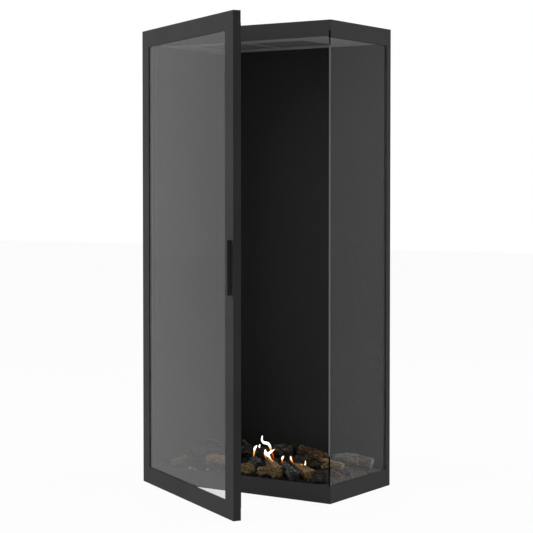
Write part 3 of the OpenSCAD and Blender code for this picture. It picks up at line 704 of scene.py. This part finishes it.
def painted_wood(name, groove, ridge, heart, streak, char=0.25, patchy=0.45):
    """groove and ridge colour the outside, heart and streak the split faces and ends."""
    material, tree, shader, place = start_finish(name)
    height, fibre, cut = (
        add(tree, "ShaderNodeAttribute", attribute_name=label).outputs[kind]
        for label, kind in (("relief", "Fac"), ("fibre", "Vector"), ("cut", "Fac")))
    middle = tuple(0.6 * a + 0.4 * b for a, b in zip(groove, ridge))
    # Dark grooves and light ridges: partly the paint's own colours, partly painted shade in the
    # grooves and painted highlight on the ridges.
    outside = ramp(tree, height, [(0.08, groove), (0.5, middle), (0.9, ridge)])
    lines = grain(tree, stretched(tree, fibre, FIBRES), 1.0, 4.0, 0.6)
    bright = tuple(min(1.0, c) for c in scaled(heart, 1.35))
    wood = ramp(tree, lines, [(0.32, streak), (0.5, heart), (0.7, bright)])
    # The deepest tears in split wood take the streak colour: partly its own colour, partly painted
    # shade.
    wood = blend_colours(tree, ramp(tree, height, [(0.05, 1), (0.4, 0)]), wood, streak)
    base = blend_colours(tree, ramp(tree, cut, [(0.3, 0), (0.6, 1)]), outside, wood)
    patches = ramp(tree, grain(tree, place, 150.0, 3.0, 0.6),
                   [(0.40, 1 - patchy), (0.52, 1), (0.66, 1 + 0.6 * patchy)])
    base = blend_colours(tree, 1.0, base, patches, "MULTIPLY")
    burnt = ramp(tree, grain(tree, place, 44.0, 5.0, 0.65), [(0.50, 0), (0.62, char)])
    base = blend_colours(tree, burnt, base, SOOT)
    dust = grain(tree, place, 900.0, 2.0)
    tone = ramp(tree, dust, [(0.3, 0.8), (0.7, 1.1)])
    fill(shader, Base_Color=blend_colours(tree, 1.0, base, tone, "MULTIPLY"), Roughness=0.92,
         Specular_IOR_Level=0.25)
    under = add_bump(tree, shader, lines, 0.0004, 0.6)
    add_bump(tree, shader, dust, 0.00025, 0.7, under)
    return material


WOODS = {
    "tan_wood": (
        (0.030, 0.018, 0.009), (0.285, 0.188, 0.092), (0.272, 0.178, 0.087),
        (0.062, 0.038, 0.018), 0.6),
    "grey_bark": (
        (0.006, 0.005, 0.004), (0.112, 0.104, 0.080), (0.026, 0.022, 0.016),
        (0.008, 0.007, 0.006), 0.5, 0.6),
    # A darker copy of grey bark: painted shade on the front right log.
    "shaded_bark": (
        (0.004, 0.003, 0.003), (0.058, 0.053, 0.040), (0.022, 0.019, 0.014),
        (0.008, 0.007, 0.006), 0.6, 0.5),
    "brown_bark": (
        (0.010, 0.006, 0.003), (0.150, 0.088, 0.048), (0.110, 0.064, 0.034),
        (0.02, 0.012, 0.006), 0.6),
    "dark_bark": (
        (0.005, 0.004, 0.003), (0.062, 0.048, 0.034), (0.04, 0.03, 0.02), (0.01, 0.008, 0.006),
        0.6),
    # The pale blue-grey ridges of charred wood are partly its own grey, partly a painted sheen.
    "charred_wood": (
        (0.003, 0.003, 0.003), (0.140, 0.150, 0.138), (0.034, 0.036, 0.034),
        (0.006, 0.006, 0.006), 0.2, 0.6),
    # A paler copy of grey bark: painted light on the grey log by the side glass and on the grey
    # offcut.
    "pale_grey_bark": (
        (0.055, 0.053, 0.048), (0.165, 0.163, 0.150), (0.12, 0.11, 0.095),
        (0.06, 0.054, 0.047), 0.2, 0.3),
    "rose_wood": (
        (0.055, 0.041, 0.032), (0.180, 0.142, 0.115), (0.18, 0.138, 0.110),
        (0.08, 0.059, 0.046), 0.2, 0.3),
    "sooty_wood": (
        (0.034, 0.024, 0.017), (0.150, 0.112, 0.082), (0.15, 0.110, 0.080),
        (0.06, 0.042, 0.030), 0.4),
    "white_ash": (
        (0.22, 0.21, 0.20), (0.45, 0.44, 0.42), (0.4, 0.39, 0.37), (0.3, 0.29, 0.27), 0.05),
}
woods = {name: painted_wood(name, *colours) for name, colours in WOODS.items()}
print("wood finishes:", *woods)

# %% [markdown]
# The log table repeats the CAD model's own places and sizes, so every ceramic log stays exactly
# where its solid lies. The word in each rod says what its outside looks like, and the number
# after it is the seed of its lumps. Forked logs are made of two rods.


# %% Every log, from the CAD model's own numbers
def rod(p, q, r, s, kind, seed, **more):
    """The sizes of one rod, in millimetres and degrees."""
    return dict(p=p, q=q, r=r, s=s, kind=kind, seed=seed, **more)


LOGS = [
    ("log_left_tan", "tan_wood", "tan_log", [
        rod((-218, -138, 54), (-203, -92, 62.5), 10, 10.5, "split", 1, flat=0.7)]),
    ("log_left_grey", "grey_bark", "grey_log", [
        rod((-218, -50, 67), (-178, 0, 73), 14, 13, "bark", 2)]),
    ("log_left_split", "tan_wood", "tan_log", [
        rod((-137, -97, 64.5), (-76, -90, 65), 14.5, 14.5, "split", 3, flat=0.6, at=60)]),
    ("log_left_back", "brown_bark", "brown_log", [
        rod((-242, 54, 76), (-160, 62, 78), 13, 14, "bark", 4)]),
    ("log_back_dark", "dark_bark", "brown_log", [
        rod((-104, 6, 76), (0, 16, 78), 16, 16, "bark", 5)]),
    ("log_front_round", "tan_wood", "tan_log", [
        rod((-44, -128, 58.5), (34, -129.5, 57.5), 14.5, 14.5, "split", 6)]),
    ("log_charred_left", "charred_wood", "charred_log", [
        rod((4, -90, 72), (38, -104, 66), 13, 12.5, "charred", 7, bow=2)]),
    ("log_fork", "tan_wood", "tan_log", [
        rod((47, -78, 77), (117, -138, 62.5), 8, 19, "split", 8, flat=0.8, at=90),
        rod((96, -126, 62.5), (58, -139, 58.5), 14, 10, "split", 9)]),
    ("log_charred_middle", "charred_wood", "charred_log", [
        rod((103, -88, 67), (171, -140, 58), 12, 14.5, "charred", 10, bow=2)]),
    ("log_split_middle", "tan_wood", "tan_log", [
        rod((121, -56, 70), (203, -118, 61.5), 12, 17, "bark", 11, flat=0.55, at=80)]),
    ("log_front_right", "shaded_bark", "grey_log", [
        rod((222, -130, 60.5), (264, -127, 61.5), 17, 18, "bark", 12)]),
    ("log_branch", "tan_wood", "tan_log", [
        rod((204, -60, 90), (262, -54, 79), 7, 10, "split", 13, flat=0.7),
        rod((228, -58, 83), (216, -80, 76), 8, 6, "split", 19)]),
    ("log_back_grey", "grey_bark", "grey_log", [
        rod((-22, 60, 79), (40, 64, 80), 15, 15, "bark", 14)]),
    ("log_back_brown", "brown_bark", "brown_log", [
        rod((60, 62, 87), (110, 50, 80), 13, 17, "bark", 15)]),
    ("log_back_right", "brown_bark", "brown_log", [
        rod((126, 10, 88), (184, -6, 84), 14, 15, "bark", 16)]),
    ("log_side_grey", "pale_grey_bark", "grey_log", [
        rod((197, 1, 80), (256, 34, 79), 17, 19, "bark", 17, bow=3)]),
    ("log_side_brown", "rose_wood", "brown_log", [
        rod((204, 80, 76.5), (266, 88, 64), 15.5, 15, "split", 18)]),
]
log_faces = 0
for node, wood, slot, rods in LOGS:
    piece = log_piece("ceramic_" + node, rods, woods[wood], node)
    log_faces += len(piece.data.polygons)
print(len(LOGS), "logs,", log_faces, "faces")

# %% [markdown]
# One CAD node holds the loose bits: offcuts, thin sticks, chips and flakes of ash. They are rods
# too, most of them with fewer points, and are grouped here by their finish.

# %% Offcuts, sticks and chips
CHIPS = [  # x, y, z and radius
    (46, -38, 66, 9), (68, -42, 63, 8), (84, -58, 62, 8), (117, -145, 46.5, 4),
    (134, -142, 48, 5), (144, -144, 46, 3), (212, -140, 48, 6), (248, -146, 45, 2.5),
    (262, 112, 51, 5), (-20, -146, 46, 3), (10, -146.5, 45.5, 3.2), (28, -146.5, 45.5, 3.4),
    (72, -146.5, 45.2, 3.2), (180, -144, 47, 4),
]
SMALL = dict(across=20, pitch=0.002)
chips = [rod((x - d, y, z), (x + d, y + 3, z + 1), d, d * 0.8, "charred", x, **SMALL)
         for x, y, z, d in CHIPS]
OFFCUTS = [
    ("ceramic_offcuts", "dark_bark", "charred_log", chips + [
        rod((92, -10, 73), (150, -30, 72), 13, 13, "bark", 20),
        rod((168, -46, 76), (200, -56, 72), 9, 9, "bark", 23, across=40),
        rod((38, -142, 51), (46, -145, 50), 6.8, 5.6, "charred", 24, across=28)]),
    ("ceramic_sticks", "tan_wood", "tan_log", [
        rod((225, -46, 60.5), (266, -66, 53), 5, 4.5, "split", 21, across=28)]),
    ("ceramic_back_stick", "sooty_wood", "brown_log", [
        rod((-80, 32, 75), (-124, 60, 96), 7.5, 4, "split", 22, across=28)]),
    ("ceramic_grey_offcut", "pale_grey_bark", "grey_log", [
        rod((236, -18, 62), (264, -12, 57), 11, 10, "bark", 25, across=40)]),
    ("ash_flakes", "white_ash", "grey_log", [
        rod((-109.4, -136, 45.5), (-102.6, -133, 46.5), 3.4, 2.7, "charred", -106, **SMALL),
        rod((-160, -145, 44.4), (-139, -140, 44.8), 2.6, 2.4, "charred", 26, **SMALL)]),
]
for name, wood, slot, rods in OFFCUTS:
    piece = log_piece(name, rods, woods[wood], "log_offcuts")
    print(name, len(rods), "rods,", len(piece.data.polygons), "faces")

# %% [markdown]
# ## Ember bed
# Between the logs lies a layer of crushed ember fibre. Geometry Nodes scatter some thousands of
# angular crumbs over a sheet that follows the bed: dense enough to hide it, with a fixed seed, so
# that the same crumbs fall every time.

# %% The sheet that carries the crumbs
BED_BY_Y = [(-150.5, 41.5), (-118, 43), (-112, 48), (-60, 50), (20, 57), (90, 59), (124, 58),
            (128, 43)]
BED_BY_X = [(-261, 41.5), (-251, 42), (-250, 59), (200, 59), (246, 47), (264, 43), (276, 41.5)]
SHEET_LIFT = 0.001
COLUMNS, ROWS = 88, 46


def bed_height(place, stops):
    """The bed's height at a place, from a table of both in millimetres."""
    return float(np.interp(place * MM, *zip(*stops))) / MM


sheet_points = [(x, y, min(bed_height(y, BED_BY_Y), bed_height(x, BED_BY_X)) + SHEET_LIFT)
                for y in np.linspace(-0.1465, 0.1235, ROWS)
                for x in np.linspace(-0.257, 0.2715, COLUMNS)]
sheet_faces = [(i, i + 1, i + COLUMNS + 1, i + COLUMNS)
               for j in range(ROWS - 1) for i in range(j * COLUMNS, (j + 1) * COLUMNS - 1)]
crumb_mesh = bpy.data.meshes.new("ember_crumbs")
crumb_mesh.from_pydata(sheet_points, [], sheet_faces)
print("sheet of", len(sheet_faces), "faces")

# %% [markdown]
# The crumbs are nearly black. One in a few hundred is white with ash, which each crumb's own
# random number decides, and a drift of grey ash lies over the right end of the bed.

# %% Finish for the embers
DRIFT_START, DRIFT_FULL = 0.19, 0.26
DRIFT_GREY = (0.135, 0.125, 0.115)
ember, tree, shader, place = start_finish("ember_fibre")
chance = add(tree, "ShaderNodeAttribute", attribute_name="ash").outputs["Fac"]
tone = ramp(tree, chance, [(0.0, 0.004), (0.6, (0.013, 0.011, 0.010)),
                           (0.988, (0.028, 0.023, 0.020)), (0.996, (0.26, 0.25, 0.23))])
along = add(tree, "ShaderNodeSeparateXYZ", place).outputs["X"]
drift = add(tree, "ShaderNodeMapRange", Value=along, From_Min=DRIFT_START, From_Max=DRIFT_FULL)
drifted = ramp(tree, drift.outputs[0], [(0.0, 0), (1.0, 0.8)])
tone = blend_colours(tree, drifted, tone, DRIFT_GREY)
specks = ramp(tree, grain(tree, place, 800.0), [(0.3, 0.6), (0.7, 1.2)])
fill(shader, Base_Color=blend_colours(tree, 1.0, tone, specks, "MULTIPLY"), Roughness=0.95)
add_bump(tree, shader, grain(tree, place, 600.0), 0.0006)
dress(frame["nodes"]["ember_bed"], ember)
print("ember finish ready")

# %% [markdown]
# Each crumb is a ball of twenty faces, squeezed and turned at random. The tree spreads points over
# the sheet, gives each a size, a squeeze and a turn, and stores its random number for the finish.

# %% Geometry Nodes tree that scatters crumbs
FULL_TURN = 6.28
FLATTEST, ROUNDEST = (0.7, 0.7, 0.45), (1.3, 1.1, 0.9)
ASH_SEED = 5
scatter, given = open_tree("crumbs_on_sheet", "Sheet", {"Density": "Float", "Smallest": "Float",
                                                        "Largest": "Float", "Seed": "Int"},
                           "Crumbs")


def draw(*limits, **settings):
    """A random number or direction for each crumb."""
    return add(scatter, "FunctionNodeRandomValue", *limits, **settings)


spread = add(scatter, "GeometryNodeDistributePointsOnFaces", Mesh=given["Sheet"],
             Density=given["Density"], Seed=given["Seed"])
crumb = add(scatter, "GeometryNodeMeshIcoSphere", Radius=1.0, Subdivisions=1)
size = draw(Seed=given["Seed"])
feed(size.inputs[2], given["Smallest"])
feed(size.inputs[3], given["Largest"])
turn = draw((0.0,) * 3, (FULL_TURN,) * 3, data_type="FLOAT_VECTOR", Seed=given["Seed"])
squeeze = draw(FLATTEST, ROUNDEST, data_type="FLOAT_VECTOR")
scale = add(scatter, "ShaderNodeVectorMath", squeeze.outputs[0], Scale=size.outputs[1],
            operation="SCALE")
stand = add(scatter, "GeometryNodeInstanceOnPoints", Points=spread.outputs["Points"],
            Instance=crumb.outputs["Mesh"], Rotation=turn.outputs[0], Scale=scale.outputs[0])
marked = add(scatter, "GeometryNodeStoreNamedAttribute", data_type="FLOAT", domain="INSTANCE",
             Geometry=stand.outputs[0], Name="ash", Value=draw(Seed=ASH_SEED).outputs[1])
end_tree(scatter, marked.outputs[0], ember)

# %% Scatter the crumbs
crumbs = run_tree(new_object("ember_crumbs", crumb_mesh), scatter,
                  {"Density": 42000.0, "Smallest": 0.0018, "Largest": 0.0044, "Seed": 11})
dress(crumbs, ember)
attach(crumbs, "firebox")
print(len(crumbs.data.polygons) // 20, "crumbs")

# %% [markdown]
# ## Flames
# A gas flame over ceramic logs is dim and red at its root, orange where soot glows, and white hot
# above. Each flame is a tapering tongue swept along a bent line, wider than it is deep. It only
# glows: colour and strength follow the attribute burn from root to tip, and its rim thins to
# nothing by a Layer Weight, so the tongue has no hard edge.

# %% Finish for a flame
FLAME_POWER = 3.0
flame_glow = bpy.data.materials.new("flame_glow")
flame_glow.use_nodes = True
tree = flame_glow.node_tree
tree.nodes.remove(tree.nodes["Principled BSDF"])
burn = add(tree, "ShaderNodeAttribute", attribute_name="burn").outputs["Fac"]
hue = ramp(tree, burn, [(0.0, (0.80, 0.06, 0.01)), (0.25, (1.0, 0.19, 0.02)),
                        (0.5, (1.0, 0.46, 0.10)), (0.7, (1.0, 0.80, 0.46)),
                        (0.88, (1.0, 0.97, 0.90))])
power = ramp(tree, burn, [(0.0, 0.14), (0.3, 0.32), (0.6, 0.5), (0.9, 1.0)])
glow = add(tree, "ShaderNodeEmission", Color=hue,
           Strength=reckon(tree, "MULTIPLY", power, FLAME_POWER))
rim = add(tree, "ShaderNodeLayerWeight", Blend=0.35).outputs["Facing"]
nothing = tree.nodes.new("ShaderNodeBsdfTransparent")
show_blend(tree, ramp(tree, rim, [(0.35, 0), (0.95, 1)]), glow, nothing)
print("flame finish ready")

# %% [markdown]
# Each flame's line, radii and burn are given at a few places. A smooth curve through them gives
# the rings of the tongue.


# %% Shape of a flame
TONGUE_RINGS, TONGUE_SIDES = 40, 20
TONGUE_DEPTH, TONGUE_THINNEST = 0.7, 0.0002
TONGUE_BACK = Vector((0.28, 0.96, 0.0))


def smooth(values):
    """A curve through the values, as many steps long as a flame has rings."""
    values = np.array(values, float)
    out = []
    for t in np.linspace(0, 1, TONGUE_RINGS):
        i = min(int(t * (len(values) - 1)), len(values) - 2)
        u = t * (len(values) - 1) - i
        a, b = values[max(i - 1, 0)], values[i]
        c, d = values[i + 1], values[min(i + 2, len(values) - 1)]
        out.append(0.5 * (2 * b + (c - a) * u + (2 * a - 5 * b + 4 * c - d) * u ** 2
                          + (3 * b - a - 3 * c + d) * u ** 3))
    return np.array(out)


def flame(name, line, radii, burns):
    """A tongue along line, in millimetres, with a radius and a burn at each of its points."""
    centre = smooth(np.array(line, float) / MM)
    radius = np.maximum(smooth(radii) / MM, TONGUE_THINNEST)
    burn = np.clip(smooth(burns), 0, 1)
    sides, end = TONGUE_SIDES, TONGUE_RINGS - 1
    points, burning = [], []
    for i in range(TONGUE_RINGS):
        ahead = Vector(centre[min(i + 1, end)] - centre[max(i - 1, 0)]).normalized()
        side = ahead.cross(TONGUE_BACK).normalized()
        back = side.cross(ahead).normalized()
        for k in range(sides):
            a = 2 * math.pi * k / sides
            out = side * math.cos(a) + back * math.sin(a) * TONGUE_DEPTH
            points.append(Vector(centre[i]) + float(radius[i]) * out)
            burning.append(burn[i])
    after = [*range(1, sides), 0]
    faces = [(b + k, b + n, b + sides + n, b + sides + k)
             for b in range(0, end * sides, sides) for k, n in enumerate(after)]
    for ring, order in ((0, 1), (end, -1)):
        points.append(Vector(centre[ring]))
        burning.append(burn[ring])
        tip, base = len(points) - 1, ring * sides
        faces += [(base + n, base + k, tip)[::order] for k, n in enumerate(after)]
    mesh = bpy.data.meshes.new(name)
    mesh.from_pydata(points, [], faces)
    mark(mesh, "burn", burning)
    shape = bmesh.new()
    shape.from_mesh(mesh)
    bmesh.ops.recalc_face_normals(shape, faces=shape.faces)
    shape.to_mesh(mesh)
    shape.free()
    mesh.shade_smooth()
    piece = new_object(name, mesh)
    dress(piece, flame_glow)
    piece.visible_shadow = False
    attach(piece, "firebox")


print("flame rule ready")

# %% Every flame
FLAMES = {
    "flame_tall": (
        [(45, -62, 92), (46, -62, 98), (46, -62, 104), (44, -62, 111), (39, -62, 117),
         (32, -62, 119), (25, -62, 119), (20, -62, 123), (18, -62, 129), (20, -62, 137)],
        [1.6, 2.4, 2.8, 3.2, 3.4, 3.4, 3.0, 2.6, 2.2, 1.0],
        [0.15, 0.25, 0.45, 0.75, 1, 1, 1, 1, 1, 0.95]),
    "flame_middle": (
        [(90, -114, 78), (82, -108, 83), (72, -101, 87), (61, -91, 90), (47, -79, 92),
         (37, -72, 96), (31, -66, 101)],
        [0.8, 1.4, 1.8, 3.2, 4.6, 3.8, 1.4], [0.25, 0.42, 0.58, 0.8, 1, 1, 0.9]),
    "flame_stub": (
        [(46.5, -84, 81.7), (43.4, -84, 90.1), (41.5, -84, 97.8)],
        [0.8, 1.9, 2.2], [0.25, 0.45, 0.85]),
    "flame_arm": (
        [(37, -66, 91), (44, -66, 94), (51, -66, 99), (57, -66, 103), (62, -66, 106)],
        [3.0, 3.0, 2.4, 1.8, 0.8], [1, 1, 0.9, 0.68, 0.5]),
    "flame_red": (
        [(54, -60, 77), (53, -60, 84), (50, -60, 91), (48, -60, 98), (46, -60, 103)],
        [0.7, 1.8, 2.6, 2.2, 1.0], [0.0, 0.05, 0.14, 0.25, 0.3]),
    "flame_left": (
        [(-17, -50, 73), (-16, -50, 80), (-15, -50, 87), (-14, -50, 94), (-12, -50, 100),
         (-6, -50, 107)],
        [0.9, 2.0, 2.3, 2.5, 3.2, 1.0], [0.1, 0.3, 0.48, 0.68, 1, 0.9]),
    "flame_puff": (
        [(3, -50, 102), (2, -50, 106), (4, -50, 111)],
        [0.9, 2.0, 0.7], [0.8, 0.95, 0.9]),
    "flame_low_a": (
        [(81, -62, 69), (82, -62, 75), (82, -62, 81), (84, -62, 86), (88, -62, 90)],
        [0.6, 1.4, 2.6, 2.8, 0.8], [0.05, 0.25, 0.6, 0.8, 0.6]),
    "flame_low_b": (
        [(118, -62, 72), (114, -62, 77), (111, -62, 82), (109, -62, 87), (109, -62, 92)],
        [0.6, 1.5, 2.5, 2.6, 0.8], [0.1, 0.35, 0.62, 0.8, 0.55]),
    "flame_low_c": (
        [(160, -76, 67), (162, -76, 71), (162, -76, 75), (163, -76, 80), (163, -76, 87)],
        [0.8, 1.6, 1.9, 1.5, 0.6], [0.2, 0.4, 0.62, 0.8, 0.75]),
    "flame_low_d": (
        [(147, -76, 70), (149, -76, 73), (151, -76, 75), (154, -76, 77)],
        [0.6, 1.3, 1.6, 0.7], [0.2, 0.45, 0.5, 0.35]),
    "flame_low_e": (
        [(72, -70, 66), (72, -70, 69), (73, -70, 72)], [0.6, 1.2, 0.6], [0.2, 0.35, 0.4]),
}
for name, (line, radii, burns) in FLAMES.items():
    flame(name, line, radii, burns)
print(len(FLAMES), "flames")

# %% [markdown]
# ## Stage, light and camera
# The picture is a catalogue view on white, which isn't made by strong lamps: Light Path chooses it.
# Rays from the camera, mirrors and glass find a white floor and world. All others find the pale
# floor and the soft world that light the object. A share of the floor's own shading stays in what
# the camera sees, and keeps the object's shadow.


# %% Floor
FLOOR_REACH, FLOOR_DROP = 14, 0.0005
FLOOR_WHITE = 0.95


def seen(tree):
    """1 for the rays from the camera, from mirrors and from glass, 0 for all others."""
    path = tree.nodes.new("ShaderNodeLightPath").outputs
    through = reckon(tree, "MAXIMUM", path["Is Camera Ray"], path["Is Transmission Ray"])
    return reckon(tree, "MAXIMUM", through, path["Is Glossy Ray"])


floor_mesh = bpy.data.meshes.new("floor")
floor_mesh.from_pydata([(x * FLOOR_REACH, y * FLOOR_REACH, 0)
                        for x, y in ((-1, -1), (1, -1), (1, 1), (-1, 1))], [], [(0, 1, 2, 3)])
floor = new_object("floor", floor_mesh)
floor.location.z = -FLOOR_DROP
floor_finish, tree, shader, place = start_finish("pale_floor")
fill(shader, Base_Color=ramp(tree, grain(tree, place, 3.0), [(0.3, 0.78), (0.7, 0.80)]),
     Roughness=0.9)
white = add(tree, "ShaderNodeEmission", Strength=1.0)
show_blend(tree, reckon(tree, "MULTIPLY", seen(tree), FLOOR_WHITE), shader, white)
dress(floor, floor_finish)
print("floor ready")

# %% World
WHITE = (1.0, 1.0, 1.0)
WORLD_LIGHT = 0.35
world = bpy.data.worlds.new("studio")
bpy.context.scene.world = world
world.use_nodes = True
tree = world.node_tree
soft = fill(tree.nodes["Background"], Color=WHITE, Strength=WORLD_LIGHT)
bright = add(tree, "ShaderNodeBackground", Color=WHITE, Strength=1.0)
show_blend(tree, seen(tree), soft, bright, "World Output")
print("world ready")

# %% [markdown]
# A broad lamp on the left front lights the door, and one on the right rear lights the glass side.
# Mirrors and glass don't show them.

# %% Lamps
LAMP_AIM = Vector((0, 0, 0.6))
for name, place, size, watts in (("left_front_lamp", (-2.6, -2.8, 2.4), 2.2, 105),
                                 ("right_rear_lamp", (2.7, 2.6, 2.4), 2.0, 85)):
    light = bpy.data.lights.new(name, "AREA")
    light.shape, light.size, light.energy = "SQUARE", size, watts
    lamp = new_object(name, light)
    lamp.location = place
    lamp.rotation_euler = (LAMP_AIM - Vector(place)).to_track_quat("-Z", "Y").to_euler()
    lamp.visible_glossy = lamp.visible_transmission = False
    print(name, watts, "W")

# %% [markdown]
# The camera stands at the photograph's viewing angle, a little above the middle of the object. It
# looks down slightly, and a small shift brings the object to the middle of the picture.

# %% Camera
CAMERA_TURN, CAMERA_DOWN = 33.685, 1.905
camera_data = bpy.data.cameras.new("portrait")
camera_data.lens = 105.08
camera_data.sensor_width = 36.0
camera_data.shift_y = -0.05
camera = new_object("portrait", camera_data)
camera.location = (2.2999, -3.4633, 0.7917)
camera.rotation_euler = (math.radians(90.0 - CAMERA_DOWN), 0.0, math.radians(CAMERA_TURN))
bpy.context.scene.camera = camera
bpy.context.scene.view_settings.view_transform = "Standard"
print("camera ready")
